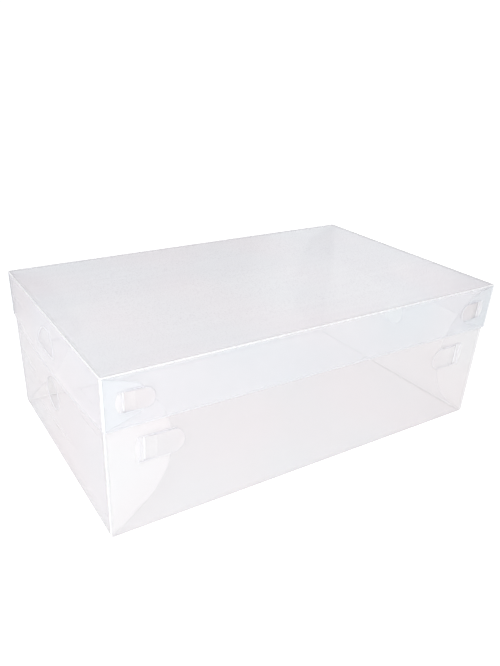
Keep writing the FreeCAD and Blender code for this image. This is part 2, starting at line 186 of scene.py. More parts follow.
def carried(
    path: np.ndarray, facing: np.ndarray, profile: np.ndarray, closed: bool
) -> tuple[np.ndarray, np.ndarray]:
    """Carries a closed profile along a flat path.

    Each point of the piece is the path's point, plus the profile's first number along the direction that
    the path's plane faces, plus its second number across the path in its plane.

    Args:
        path: Points of the path.
        facing: Direction that the path's plane faces, one for the path or one a point.
        profile: Points of the section, going round it.
        closed: The path's last point joins its first.

    Returns:
        Points and faces, with the two ends closed where the path is open.
    """
    ahead = np.roll(path, -1, axis=0) - np.roll(path, 1, axis=0)
    if not closed:
        ahead = np.gradient(path, axis=0)
    ahead /= np.linalg.norm(ahead, axis=-1, keepdims=True)
    facing = np.broadcast_to(np.asarray(facing, float), path.shape)
    across = np.cross(ahead, facing)
    points = (
        path[:, None, :]
        + facing[:, None, :] * profile[None, :, :1]
        + across[:, None, :] * profile[None, :, 1:]
    )
    rows, columns = points.shape[:2]
    points = points.reshape(-1, 3)
    faces = quads(rows, columns, wrap_rows=closed, wrap_columns=True)
    if closed:
        return points, faces
    ends = np.stack([path[0], path[-1]])
    ring = np.arange(columns)
    middle, before, after = ring[::2], np.roll(ring, 1)[::2], np.roll(ring, -1)[::2]
    first = np.full(columns // 2, rows * columns)
    tail = (rows - 1) * columns
    caps = [
        np.stack([first, after, middle, before], -1),
        np.stack([first + 1, tail + before, tail + middle, tail + after], -1),
    ]
    return np.concatenate([points, ends]), np.concatenate([faces, *caps])


def round_profile(radius: float, count: int = 8) -> np.ndarray:
    """A circle of an even number of points: radius times the cosine and the sine of equal steps."""
    turn = np.linspace(0, 2 * np.pi, count, endpoint=False)
    return radius * np.stack([np.cos(turn), np.sin(turn)], axis=-1)


def arc(
    start: tuple[float, float], end: tuple[float, float], rise: float, count: int = 17
) -> np.ndarray:
    """A circular arc from start to end that stands rise to the right of the line between them.

    Args:
        start: Its first point.
        end: Its last point.
        rise: Height of the arc over its chord; 0 gives the chord, and less than 0 the left side.
        count: Points on it.

    Returns:
        The points, count by 2.
    """
    first, last = np.array(start, float), np.array(end, float)
    chord = last - first
    length = np.hypot(*chord)
    right = np.array([chord[1], -chord[0]]) / length
    share = np.linspace(0, 1, count)[:, None]
    if abs(rise) < 1e-9:
        return first + share * chord
    if rise < 0:
        right, rise = -right, -rise
    radius = (length**2 / 4 + rise**2) / (2 * rise)
    half = np.arctan2(length / 2, radius - rise)
    turn = half * (2 * share - 1)
    centre = (first + last) / 2 + right * (rise - radius)
    return centre + radius * (np.sin(turn) * chord / length + np.cos(turn) * right)


def evenly(outline: np.ndarray, step: float, closed: bool) -> np.ndarray:
    """Sets points along an outline at equal distances, about step apart, which also rounds its corners.

    Args:
        outline: Points of the outline, any distance apart.
        step: Wanted distance between points.
        closed: The outline's last point joins its first.

    Returns:
        The new points.
    """
    if closed:
        outline = np.concatenate([outline, outline[:1]])
    reach = np.concatenate([[0], np.cumsum(np.linalg.norm(np.diff(outline, axis=0), axis=-1))])
    count = max(4, int(np.ceil(reach[-1] / step)))
    stops = np.linspace(0, reach[-1], count, endpoint=not closed)
    return np.stack([np.interp(stops, reach, outline[:, k]) for k in range(outline.shape[1])], axis=-1)


def swell(distance: np.ndarray, reach: float) -> np.ndarray:
    """A squared parabola: 1 in the middle, and 0, with no slope, from reach outwards."""
    return np.clip(1 - (distance / reach) ** 2, 0, 1) ** 2


# Finishes.


def linear(colour: str) -> tuple[float, float, float, float]:
    """Turns an sRGB hex colour into the linear one that the shaders take.

    Args:
        colour: The colour, such as #F4F4F4.

    Returns:
        Its red, green and blue from 0 to 1, and 1 for opaque.
    """
    values = np.array([int(colour[k : k + 2], 16) for k in (1, 3, 5)]) / 255
    lit = np.where(values <= 0.04045, values / 12.92, ((values + 0.055) / 1.055) ** 2.4)
    return (*lit.tolist(), 1.0)


def node(
    owner: bpy.types.Material | bpy.types.World,
    kind: str,
    settings: dict | None = None,
    **links: bpy.types.NodeSocket,
) -> bpy.types.Node:
    """Adds a shader node.

    Args:
        owner: The material or the world that it goes into.
        kind: The node's type name.
        settings: Attributes of the node, or values of its inputs by name or number.
        **links: Outputs linked to inputs; the names use _ for a space, and in0 for input 0.

    Returns:
        The new node.
    """
    made = owner.node_tree.nodes.new(kind)
    for name, value in (settings or {}).items():
        if isinstance(name, int) or name in made.inputs:
            made.inputs[name].default_value = value
        else:
            setattr(made, name, value)
    for name, source in links.items():
        slot = int(name[2:]) if name[:2] == "in" and name[2:].isdigit() else name.replace("_", " ")
        owner.node_tree.links.new(source, made.inputs[slot])
    return made


def blank_material(name: str) -> bpy.types.Material:
    """Makes a material with an empty node tree.

    Args:
        name: The material's name.

    Returns:
        The material.
    """
    material = bpy.data.materials.new(name)
    material.use_nodes = True
    material.node_tree.nodes.clear()
    return material


@dataclass(frozen=True)
class Band:
    """A strip of a sheet beside a crease, where folding has whitened it.

    It runs across the axis, at a distance from the middle of the box on both its sides, and fades out.
    """

    axis: Axis
    distance: float
    width: float


@dataclass(frozen=True)
class FrostedSheet:
    """Polypropylene, extruded into sheet between a polished and a matt roll.

    To the eye it is milky and clear at once: a cool white haze lets whatever touches its back show and
    washes out what is far behind. Faint flow lines run along the roll's direction, and the matt roll
    leaves a fine grain that breaks up the gloss.
    """

    name: str
    tint: str
    warm_tint: str
    haze: float
    flow: Axis = Axis.LENGTH
    band: Band | None = None
    roughness: float = 0.3
    roughness_spread: float = 0.2
    # Share of the light that each face scatters forwards, into the box.
    passing: float = 0.05
    # The real grain is about 0.1 mm. It is drawn at 0.9 mm, the finest that shows.
    grain: float = 0.9 * MM
    grain_height: float = 0.02 * MM
    grain_strength: float = 0.08
    # How much the grain and the flow lines change the haze, as shares of it.
    speck: float = 0.007
    streak: float = 0.015
    # Flow lines stand about 4 mm apart and stay in line for some 150 mm.
    flow_pitch: float = 4 * MM
    flow_run: float = 150 * MM
    # Folding and packing leave the sheet slightly wavy, a hump every 70 mm or so.
    wave: float = 70 * MM
    wave_height: float = 0.25 * MM
    # Folding makes the plastic white and almost opaque.
    fold_colour: str = "#FBFBFD"
    fold_haze: float = 0.92

    def whitening(
        self, material: bpy.types.Material, place: bpy.types.NodeSocket
    ) -> bpy.types.NodeSocket | None:
        """Builds how white each point is from folding: 1 on a crease, 0 a band's width from it.

        Args:
            material: The material being built.
            place: Object coordinates.

        Returns:
            The whitening, or nothing where the sheet has no band.
        """
        if self.band is None:
            return None
        apart = node(material, "ShaderNodeSeparateXYZ", Vector=place)
        value = apart.outputs[self.band.axis.value]
        value = node(material, "ShaderNodeMath", {"operation": "ABSOLUTE"}, in0=value).outputs[0]
        away = node(
            material, "ShaderNodeMath", {"operation": "SUBTRACT", 1: self.band.distance}, in0=value
        ).outputs[0]
        away = node(material, "ShaderNodeMath", {"operation": "ABSOLUTE"}, in0=away).outputs[0]
        fade = {"interpolation_type": "SMOOTHERSTEP", 1: 0.0, 2: self.band.width, 3: 1.0, 4: 0.0}
        return node(material, "ShaderNodeMapRange", fade, in0=away).outputs[0]

    def build(self) -> bpy.types.Material:
        """Builds the material.

        Returns:
            The material.
        """
        material = blank_material(self.name)
        place = node(material, "ShaderNodeTexCoord").outputs["Object"]
        stretch = [1 / self.flow_pitch] * 3
        stretch[self.flow.value] = 1 / self.flow_run
        run = node(material, "ShaderNodeMapping", {"Scale": stretch}, Vector=place).outputs[0]
        flow = node(
            material, "ShaderNodeTexNoise", {"Scale": 1.0, "Detail": 3.0}, Vector=run
        ).outputs[0]
        grain = node(
            material, "ShaderNodeTexNoise", {"Scale": 1 / self.grain, "Detail": 2.0}, Vector=place
        ).outputs[0]
        wave = node(
            material, "ShaderNodeTexNoise", {"Scale": 1 / self.wave, "Detail": 0.0}, Vector=place
        ).outputs[0]
        cloud = node(
            material, "ShaderNodeMapRange", CLOUD_SPAN | {3: 0.0, 4: 1.0}, in0=wave
        ).outputs[0]
        tints = {"data_type": "RGBA", 6: linear(self.tint), 7: linear(self.warm_tint)}
        base = node(material, "ShaderNodeMix", tints, in0=cloud).outputs[2]
        thin, thick = self.haze * (1 - self.streak), self.haze * (1 + self.streak)
        streaks = node(
            material, "ShaderNodeMapRange", NOISE_SPAN | {3: thin, 4: thick}, in0=flow
        ).outputs[0]
        specks = node(
            material, "ShaderNodeMapRange", NOISE_SPAN | {3: 1 - self.speck, 4: 1 + self.speck},
            in0=grain,
        ).outputs[0]
        alpha = node(
            material, "ShaderNodeMath", {"operation": "MULTIPLY"}, in0=streaks, in1=specks
        ).outputs[0]
        rough, less = self.roughness, self.roughness * self.roughness_spread
        gloss = node(
            material, "ShaderNodeMapRange", NOISE_SPAN | {3: rough - less, 4: rough + less},
            in0=grain,
        ).outputs[0]
        white = self.whitening(material, place)
        if white is not None:
            haze = {"data_type": "FLOAT", 3: self.fold_haze}
            alpha = node(material, "ShaderNodeMix", haze, in0=white, in2=alpha).outputs[0]
            colour = {"data_type": "RGBA", 7: linear(self.fold_colour)}
            base = node(material, "ShaderNodeMix", colour, in0=white, in6=base).outputs[2]
        waves = node(
            material, "ShaderNodeBump", {"Strength": 1.0, "Distance": self.wave_height}, Height=wave
        ).outputs[0]
        bumps = node(
            material, "ShaderNodeBump",
            {"Strength": self.grain_strength, "Distance": self.grain_height},
            Height=grain, Normal=waves,
        ).outputs[0]
        skin = node(
            material, "ShaderNodeBsdfPrincipled", {"IOR": PLASTIC_IOR},
            Base_Color=base, Alpha=alpha, Roughness=gloss, Normal=bumps,
        )
        through = node(material, "ShaderNodeBsdfTranslucent", Color=base, Normal=bumps)
        both = node(
            material, "ShaderNodeMixShader", {0: self.passing},
            in1=skin.outputs[0], in2=through.outputs[0],
        )
        node(material, "ShaderNodeOutputMaterial", Surface=both.outputs[0])
        return material


@dataclass(frozen=True)
class WhitenedFold:
    """Polypropylene, creased and folded.

    Bending opens tiny voids in the plastic, so a crease is an almost opaque bright white line.
    """

    name: str
    colour: str = "#FBFBFD"
    dull: str = "#F1F1F5"
    body: float = 0.95
    roughness: float = 0.35
    # The rule that creases the sheet leaves a mottle of about 2 mm along the fold.
    mottle: float = 2 * MM
    mottle_height: float = 0.05 * MM
    mottle_strength: float = 0.4
    thinning: float = 0.08

    def build(self) -> bpy.types.Material:
        """Builds the material.

        Returns:
            The material.
        """
        material = blank_material(self.name)
        place = node(material, "ShaderNodeTexCoord").outputs["Object"]
        spots = node(
            material, "ShaderNodeTexNoise", {"Scale": 1 / self.mottle, "Detail": 3.0}, Vector=place
        ).outputs[0]
        tints = {"data_type": "RGBA", 6: linear(self.dull), 7: linear(self.colour)}
        base = node(material, "ShaderNodeMix", tints, in0=spots).outputs[2]
        alpha = node(
            material, "ShaderNodeMapRange",
            NOISE_SPAN | {3: self.body - self.thinning, 4: self.body},
            in0=spots,
        ).outputs[0]
        bumps = node(
            material, "ShaderNodeBump",
            {"Strength": self.mottle_strength, "Distance": self.mottle_height},
            Height=spots,
        ).outputs[0]
        skin = node(
            material, "ShaderNodeBsdfPrincipled", {"IOR": PLASTIC_IOR, "Roughness": self.roughness},
            Base_Color=base, Alpha=alpha, Normal=bumps,
        )
        node(material, "ShaderNodeOutputMaterial", Surface=skin.outputs[0])
        return material


@dataclass(frozen=True)
class SweepPaper:
    """Seamless background paper, lit from underneath so that it stays a plain white."""

    name: str
    colour: str = "#F4F4F4"
    glow: float = 0.5
    underglow: float = 0.13
    # A paper fibre is about 3 mm long and far too thin to show, so the pattern is drawn at its length.
    fibre: float = 3 * MM
    fibre_height: float = 0.05 * MM
    fibre_strength: float = 0.1
    roughness: float = 0.9

    def build(self) -> bpy.types.Material:
        """Builds the material.

        Returns:
            The material.
        """
        material = blank_material(self.name)
        place = node(material, "ShaderNodeTexCoord").outputs["Object"]
        fibres = node(
            material, "ShaderNodeTexNoise", {"Scale": 1 / self.fibre, "Detail": 4.0}, Vector=place
        ).outputs[0]
        bumps = node(
            material, "ShaderNodeBump",
            {"Strength": self.fibre_strength, "Distance": self.fibre_height},
            Height=fibres,
        ).outputs[0]
        glow = node(
            material, "ShaderNodeMapRange", {3: self.underglow, 4: self.glow},
            in0=seen_directly(material),
        ).outputs[0]
        skin = node(
            material, "ShaderNodeBsdfPrincipled",
            {
                "Base Color": linear(self.colour), "Roughness": self.roughness,
                "Specular IOR Level": 0.1, "Emission Color": WHITE,
            },
            Normal=bumps, Emission_Strength=glow,
        )
        node(material, "ShaderNodeOutputMaterial", Surface=skin.outputs[0])
        return material


def seen_directly(owner: bpy.types.Material | bpy.types.World) -> bpy.types.NodeSocket:
    """Builds 1 for what is seen past the box, and 0 for what lights the box or shows through it.

    Args:
        owner: The material or the world being built.

    Returns:
        The value: whether the ray comes straight from the camera, less the sheets that it has crossed.
    """
    path = node(owner, "ShaderNodeLightPath").outputs
    return node(
        owner, "ShaderNodeMath", {"operation": "SUBTRACT", "use_clamp": True},
        in0=path["Is Camera Ray"], in1=path["Transparent Depth"],
    ).outputs[0]


def dress(piece: bpy.types.Object, material: bpy.types.Material) -> None:
    """Gives the whole piece one material."""
    piece.data.materials.clear()
    piece.data.materials.append(material)


# Sub-assemblies.


@dataclass(frozen=True)
class Window:
    """A lock window near one end of a long side: straight above and below, with bulging ends."""

    start: float
    length: float
    height: float
    middle: float
    bulge: float = 2.5 * MM

    def outline(self, half_length: float, end: End, grow: float) -> np.ndarray:
        """Its outline in length and height: two circular arcs, joined by straight lines.

        Args:
            half_length: Half the length of the box.
            end: The end that it is near.
            grow: How far outside the opening the outline runs.

        Returns:
            The points, going round.
        """
        near = half_length - self.start + grow
        far = half_length - self.start - self.length - grow
        low = self.middle - self.height / 2 - grow
        high = self.middle + self.height / 2 + grow
        points = np.concatenate(
            [arc((far, high), (far, low), -self.bulge), arc((near, low), (near, high), -self.bulge)]
        )
        points[:, 0] *= end.value
        return points


@dataclass(frozen=True)
class Flap:
    """A corner flap: straight root, slanting flanks and a rounded nose, with a slot for its tongue."""

    root: float
    shoulder: float
    reach: float
    nose: float
    foot: float
    head: float
    middle: float
    slot: float
    slot_start: float

    def outline(self, half_length: float, end: End, inset: float) -> np.ndarray:
        """Its outline in length and height, from the root's foot round nose and slot to its head.

        The nose is a circular arc, and the rest is straight.

        Args:
            half_length: Half the length of the box.
            end: The end that it is at.
            inset: How far inside the cut edge the outline runs.

        Returns:
            The points, in order.
        """
        shoulder, tip = half_length - self.shoulder, half_length - self.reach + inset
        low, high = self.middle - self.nose / 2 + inset, self.middle + self.nose / 2 - inset
        nose = arc((shoulder, low), (shoulder, high), -(shoulder - tip), 65)
        slot_low = self.middle - self.slot / 2 - inset
        slot_high = self.middle + self.slot / 2 + inset
        slot_root = half_length - self.slot_start + inset
        before, after = nose[nose[:, 1] < slot_low], nose[nose[:, 1] > slot_high]
        slot = [
            (before[-1, 0], slot_low),
            (slot_root, slot_low),
            (slot_root, slot_high),
            (after[0, 0], slot_high),
        ]
        start = (half_length - self.root, self.foot + inset)
        stop = (half_length - self.root, self.head - inset)
        points = np.concatenate([[start], before, slot, after, [stop]])
        points[:, 0] *= end.value
        return points


@dataclass(frozen=True)
class Tongue:
    """A lock tongue: it leaves its flap, ramps outwards through the window and ends in a round tip."""

    root: float
    ramp: float
    reach: float
    height: float
    middle: float
    tip: float
    lead: float = 0.8 * MM
    lift: float = 1.8 * MM

    def outline(self, half_length: float, end: End, inset: float) -> np.ndarray:
        """Its outline in length and height, from the root's foot round the tip to the root's head.

        The tip is a circular arc, and the rest is straight.

        Args:
            half_length: Half the length of the box.
            end: The end that it is at.
            inset: How far inside the cut edge the outline runs.

        Returns:
            The points, in order.
        """
        shoulder = half_length - self.reach + self.tip
        low, high = self.middle - self.height / 2 + inset, self.middle + self.height / 2 - inset
        root = half_length - self.root
        tip = arc((shoulder, low), (shoulder, high), -(self.tip - inset), 33)
        points = np.concatenate([[(root, low)], tip, [(root, high)]])
        points[:, 0] *= end.value
        return points

    def depth(self, away: np.ndarray, half_length: float, start: float, proud: float) -> np.ndarray:
        """How far out the tongue stands: a straight ramp by its lift, and then level.

        Args:
            away: Distances from the middle of the box along its length.
            half_length: Half the length of the box.
            start: How far out its flap stands.
            proud: How much less the bead round it is lifted, because it is thicker than the sheet.

        Returns:
            The distances from the middle of the box across its width.
        """
        leave = half_length - self.root - self.lead
        share = np.clip((leave - np.abs(away)) / self.ramp, 0, 1)
        return start + share * (self.lift - proud)


@dataclass
class CutEdges:
    """The die-cut edges of the sheets, which gather light and show as thin bright lines."""

    gauge: float = 0.5 * MM
    proud: float = 0.03 * MM
    inset: float = 0.2 * MM
    step: float = 1.0 * MM

    @property
    def radius(self) -> float:
        """The bead that stands for an edge is a little thicker than the sheet."""
        return self.gauge / 2 + self.proud

    def upright(
        self, outline: np.ndarray, depth: float | np.ndarray, side: Side, closed: bool
    ) -> tuple[np.ndarray, np.ndarray]:
        """A bead along an outline on a long side.

        Args:
            outline: Points in length and height.
            depth: Distance of the sheet from the middle of the box, one for all or one a point.
            side: The long side.
            closed: The outline's last point joins its first.

        Returns:
            Points and faces.
        """
        depth = np.broadcast_to(depth, len(outline))
        path = np.stack([outline[:, 0], side.value * depth, outline[:, 1]], axis=-1)
        path = evenly(path, self.step, closed)
        return carried(path, ALONG_WIDTH, round_profile(self.radius), closed)

    def flap_and_tongue(
        self, flap: Flap, tongue: Tongue, half_length: float, depth: float, side: Side, end: End
    ) -> list[tuple[np.ndarray, np.ndarray]]:
        """The beads round a corner flap and its tongue.

        Args:
            flap: The flap.
            tongue: The tongue.
            half_length: Half the length of the box.
            depth: How far out the flap stands.
            side: The long side that it lies on.
            end: The end that it is at.

        Returns:
            Points and faces of each bead.
        """
        outline = flap.outline(half_length, end, self.inset)
        tip = tongue.outline(half_length, end, self.inset)
        ramp = tongue.depth(tip[:, 0], half_length, depth, self.proud)
        return [self.upright(outline, depth, side, False), self.upright(tip, ramp, side, False)]


@dataclass
class Body:
    """The body: base, two long walls, two bowed end walls with a finger hole, and four corner flaps."""

    folds: bpy.types.Material
    soft_folds: bpy.types.Material
    edges: bpy.types.Material
    wall: bpy.types.Material
    end_wall: bpy.types.Material
    base: bpy.types.Material
    flap_sheet: bpy.types.Material
    tongue_sheet: bpy.types.Material
    cut: CutEdges = field(default_factory=CutEdges)
    half_length: float = 165 * MM
    gauge: float = 0.5 * MM
    wall_depth: float = 97.05 * MM
    flap_depth: float = 96.15 * MM
    end_depth: float = 163.75 * MM
    end_half_width: float = 95.4 * MM
    wall_foot: float = 1.0 * MM
    wall_top: float = 117.4 * MM
    bow: float = 2.2 * MM
    hole_radius: float = 12 * MM
    hole_height: float = 58 * MM
    base_rise: float = 1.0 * MM
    # Share of the base's half length and half width over which it rises.
    base_risen: float = 0.92
    window: Window = Window(21.5 * MM, 26 * MM, 18 * MM, 61.5 * MM)
    flap: Flap = Flap(
        root=2.65 * MM, shoulder=29 * MM, reach=45 * MM, nose=79 * MM, foot=1.5 * MM, head=115.9 * MM,
        middle=62.5 * MM, slot=18 * MM, slot_start=25.7 * MM,
    )
    tongue: Tongue = Tongue(25.7 * MM, 8 * MM, 53.5 * MM, 17 * MM, 61.5 * MM, 6 * MM)

    def bowed(self, y: np.ndarray, z: np.ndarray) -> np.ndarray:
        """How far an end wall stands out: a parabola across times half a sine wave upwards.

        Args:
            y: Places across the wall.
            z: Heights.

        Returns:
            The distances from the middle of the box along its length.
        """
        across = np.clip(1 - (y / self.end_half_width) ** 2, 0, 1)
        up = np.sin(np.pi * np.clip((z - self.wall_foot) / (self.wall_top - self.wall_foot), 0, 1))
        return self.end_depth + self.bow * across * up

    def make_end_wall(self, end: End) -> bpy.types.Object:
        """Builds an end wall round its finger hole.

        The first parameter runs round the hole and the wall's outline at once, the second from the hole's
        rim straight out to the outline, in steps that grow with the power 1.4.

        Args:
            end: The end of the box.

        Returns:
            The wall.
        """
        low, high, wide = self.wall_foot, self.wall_top, self.end_half_width
        corners = np.array([(-wide, low), (wide, low), (wide, high), (-wide, high)])
        share = np.linspace(0, 1, 30, endpoint=False)[None, :, None]
        sides = np.roll(corners, -1, axis=0) - corners
        outline = corners[:, None, :] + share * sides[:, None, :]
        outline = outline.reshape(-1, 2)[:: end.value]
        centre = np.array([0.0, self.hole_height])
        rays = outline - centre
        rim = centre + self.hole_radius * rays / np.linalg.norm(rays, axis=-1, keepdims=True)
        out = np.linspace(0, 1, 22)[None, :, None] ** 1.4
        plan = rim[:, None, :] + out * (outline - rim)[:, None, :]
        x = end.value * self.bowed(plan[..., 0], plan[..., 1])
        grid = np.stack([x, plan[..., 0], plan[..., 1]], axis=-1)
        points, faces = sheet_shell(grid, self.gauge, wrap=True)
        piece = make_piece(f"{end.name.lower()}_end_bowed_wall", points, faces)
        dress(piece, self.end_wall)
        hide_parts(f"{end.name.lower()}_end_wall")
        return piece

    def make_base(self) -> bpy.types.Object:
        """Builds the base, which rises a little towards its middle: a swell along times one across.

        Returns:
            The base.
        """
        low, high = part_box("base_panel")
        along, across = np.linspace(low[0], high[0], 67), np.linspace(low[1], high[1], 41)
        x, y = np.meshgrid(along, across, indexing="ij")
        rise = swell(x, self.base_risen * high[0]) * swell(y, self.base_risen * high[1])
        z = (low[2] + high[2]) / 2 + self.base_rise * rise
        points, faces = sheet_shell(np.stack([x, y, z], axis=-1), self.gauge)
        piece = make_piece("base_sheet", points, faces)
        dress(piece, self.base)
        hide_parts("base_panel")
        return piece

    def make_edges(self) -> list[tuple[bpy.types.Object, str]]:
        """Builds the cut edges: windows and finger holes, and each flap's and tongue's outline.

        The edge of a finger hole is a circle, carried out to the bowed wall.

        Returns:
            Each piece with the body that it rides on.
        """
        made, walls = [], []
        for side, end in CORNERS:
            outline = self.window.outline(self.half_length, end, self.cut.inset)
            walls.append(self.cut.upright(outline, self.wall_depth, side, True))
        turn = np.linspace(0, 2 * np.pi, 96, endpoint=False)
        radius = self.hole_radius + self.cut.inset
        for end in End:
            y, z = radius * np.cos(turn), self.hole_height + radius * np.sin(turn)
            path = np.stack([end.value * self.bowed(y, z), y, z], axis=-1)
            walls.append(carried(path, ALONG_LENGTH, round_profile(self.cut.radius), True))
        made.append((make_piece("body_opening_edges", *joined(walls)), "box_body"))
        for side, end in CORNERS:
            corner = corner_name(side, end)
            beads = self.cut.flap_and_tongue(
                self.flap, self.tongue, self.half_length, self.flap_depth, side, end
            )
            made.append((make_piece(f"{corner}_flap_edges", *joined(beads)), f"{corner}_body_flap"))
        for piece, _ in made:
            dress(piece, self.edges)
        return made

    def build(self) -> list[bpy.types.Object]:
        """Builds and dresses every piece of the body.

        Returns:
            The new pieces.
        """
        made = [self.make_base(), *(self.make_end_wall(end) for end in End)]
        for piece in made:
            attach(piece, "box_body")
        for piece, body in self.make_edges():
            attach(piece, body)
            made.append(piece)
        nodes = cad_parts
        for name in ("front_wall", "back_wall"):
            dress(nodes[name], self.wall)
        for name in ("front", "back", "left", "right"):
            dress(nodes[f"{name}_base_crease"], self.soft_folds)
        for side, end in CORNERS:
            corner = corner_name(side, end)
            dress(nodes[f"{corner}_corner_crease"], self.folds)
            dress(nodes[f"{corner}_flap"], self.flap_sheet)
            dress(nodes[f"{corner}_tongue"], self.tongue_sheet)
        return made


@dataclass
class Lid:
    """The lid: a top panel, a bright folded ridge round it, four skirts and four corner flaps."""

    folds: bpy.types.Material
    ridge: bpy.types.Material
    edges: bpy.types.Material
    top: bpy.types.Material
    skirt: bpy.types.Material
    end_skirt: bpy.types.Material
    flap_sheet: bpy.types.Material
    tongue_sheet: bpy.types.Material
    cut: CutEdges = field(default_factory=CutEdges)
    half_length: float = 165 * MM
    gauge: float = 0.5 * MM
    axis_x: float = 164.65 * MM
    axis_y: float = 98.85 * MM
    axis_z: float = 117.65 * MM
    top_rim: float = 0.35 * MM
    outer_rim: float = 0.6 * MM
    panel_edge: float = 0.5 * MM
    ridge_corner: float = 1.2 * MM
    # Angle, past straight down, by which the bead turns in under itself.
    ridge_tuck: float = 0.5
    panel_lap: float = 0.02 * MM
    sag: float = 1.5 * MM
    # Shares of the top's half length and half width over which it sags.
    sagged: tuple[float, float] = (0.96, 0.94)
    skirt_foot: float = 81.5 * MM
    skirt_top: float = 117.0 * MM
    # The bright lower edge of a long skirt stops this far from its ends.
    foot_end: float = 0.3 * MM
    end_skirt_half: float = 97.2 * MM
    end_bow: float = 4.5 * MM
    thumb_half: float = 17.5 * MM
    thumb_low: float = 93 * MM
    thumb_rise: float = 15 * MM
    flap_depth: float = 97.95 * MM
    window: Window = Window(10.5 * MM, 15.5 * MM, 14 * MM, 99 * MM)
    flap: Flap = Flap(
        root=1.1 * MM, shoulder=19 * MM, reach=29 * MM, nose=23 * MM, foot=82 * MM, head=116.5 * MM,
        middle=99 * MM, slot=14 * MM, slot_start=13 * MM,
    )
    tongue: Tongue = Tongue(13 * MM, 7 * MM, 33 * MM, 13 * MM, 99 * MM, 4 * MM)

    def make_top(self) -> bpy.types.Object:
        """Builds the top panel, which sags a little: a swell along times one across.

        Returns:
            The panel.
        """
        reach_x = self.axis_x - self.panel_edge + self.panel_lap
        reach_y = self.axis_y - self.panel_edge + self.panel_lap
        along, across = np.linspace(-reach_x, reach_x, 83), np.linspace(-reach_y, reach_y, 51)
        x, y = np.meshgrid(along, across, indexing="ij")
        fall = swell(x, self.sagged[0] * reach_x) * swell(y, self.sagged[1] * reach_y)
        z = self.axis_z - self.sag * fall
        points, faces = sheet_shell(np.stack([x, y, z], axis=-1), self.gauge)
        piece = make_piece("lid_top_sheet", points, faces)
        dress(piece, self.top)
        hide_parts("lid_top_panel")
        return piece

    def make_ridge(self) -> bpy.types.Object:
        """Builds the folded ridge round the top, which is also the bead that the four skirts hinge on.

        Seen along it, it starts at the panel's edge, comes out level, and swells round the hinge axis: its
        distance from the axis grows from top_rim above to outer_rim below, as the angle's power 1.5.
        It runs along the four hinge axes, with a quarter circle at each corner.

        Returns:
            The ridge.
        """
        turn = np.linspace(np.pi / 2, -np.pi / 2 - self.ridge_tuck, 11)
        share = (np.pi / 2 - turn) / (np.pi + self.ridge_tuck)
        radius = self.top_rim + (self.outer_rim - self.top_rim) * share**1.5
        nose = np.stack([radius * np.sin(turn), radius * np.cos(turn)], axis=-1)
        tail = np.array([(-self.gauge / 2, -self.panel_edge), (self.gauge / 2, -self.panel_edge)])
        profile = np.concatenate([nose, tail])
        a, b, r = self.axis_x, self.axis_y, self.ridge_corner
        bend = np.linspace(0, np.pi / 2, 9)
        corners = []
        for quarter, centre in enumerate([(a - r, b - r), (r - a, b - r), (r - a, r - b), (a - r, r - b)]):
            angle = bend + quarter * np.pi / 2
            corners.append(centre + r * np.stack([np.cos(angle), np.sin(angle)], axis=-1))
        path = np.concatenate(corners)
        path = np.concatenate([path, np.full((len(path), 1), self.axis_z)], axis=-1)
        points, faces = carried(path, UPWARDS, profile, True)
        piece = make_piece("lid_folded_ridge", points, faces)
        dress(piece, self.ridge)
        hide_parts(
            "lid_front_crease", "lid_back_crease", "lid_left_crease", "lid_right_crease"
        )
        return piece

    def end_skirt_depth(self, y: np.ndarray, z: np.ndarray) -> np.ndarray:
        """Where the middle of an end skirt stands: bowed out by a parabola that grows downwards.

        Args:
            y: Places across the skirt.
            z: Heights.

        Returns:
            The distances from the middle of the box along its length.
        """
        across = 1 - (y / self.end_skirt_half) ** 2
        down = (self.skirt_top - z) / (self.skirt_top - self.skirt_foot)
        return self.axis_x + self.end_bow * across * down

    def make_edges(self) -> list[tuple[bpy.types.Object, str]]:
        """Builds the cut edges: each skirt's foot and openings, and each flap's and tongue's outline.

        The edge of a thumb opening is a circular arc over a straight line, on the bowed skirt.

        Returns:
            Each piece with the body that it rides on.
        """
        made = []
        foot = self.skirt_foot + self.cut.inset
        for side in Side:
            beads = []
            stop = self.half_length - self.foot_end
            level = np.array([(-stop, foot), (stop, foot)])
            beads.append(self.cut.upright(level, self.axis_y, side, False))
            for end in End:
                outline = self.window.outline(self.half_length, end, self.cut.inset)
                beads.append(self.cut.upright(outline, self.axis_y, side, True))
            name = side.name.lower()
            made.append((make_piece(f"lid_{name}_skirt_edges", *joined(beads)), f"{name}_skirt"))
        for end in End:
            y = np.linspace(-self.end_skirt_half, self.end_skirt_half, 120)
            z = np.full_like(y, foot)
            rim = np.stack([end.value * self.end_skirt_depth(y, z), y, z], axis=-1)
            beads = [carried(rim, UPWARDS, round_profile(self.cut.radius), False)]
            half, low = self.thumb_half + self.cut.inset, self.thumb_low - self.cut.inset
            top = arc((-half, low), (half, low), -(self.thumb_rise + 2 * self.cut.inset), 40)
            moon = np.concatenate([arc((half, low), (-half, low), 0, 12), top[1:-1]])
            y, z = evenly(moon, self.cut.step, True).T
            path = np.stack([end.value * self.end_skirt_depth(y, z), y, z], axis=-1)
            beads.append(carried(path, ALONG_LENGTH, round_profile(self.cut.radius), True))
            for side in Side:
                beads += self.cut.flap_and_tongue(
                    self.flap, self.tongue, self.half_length, self.flap_depth, side, end
                )
            name = end.name.lower()
            made.append((make_piece(f"lid_{name}_skirt_edges", *joined(beads)), f"{name}_skirt"))
        for piece, _ in made:
            dress(piece, self.edges)
        return made

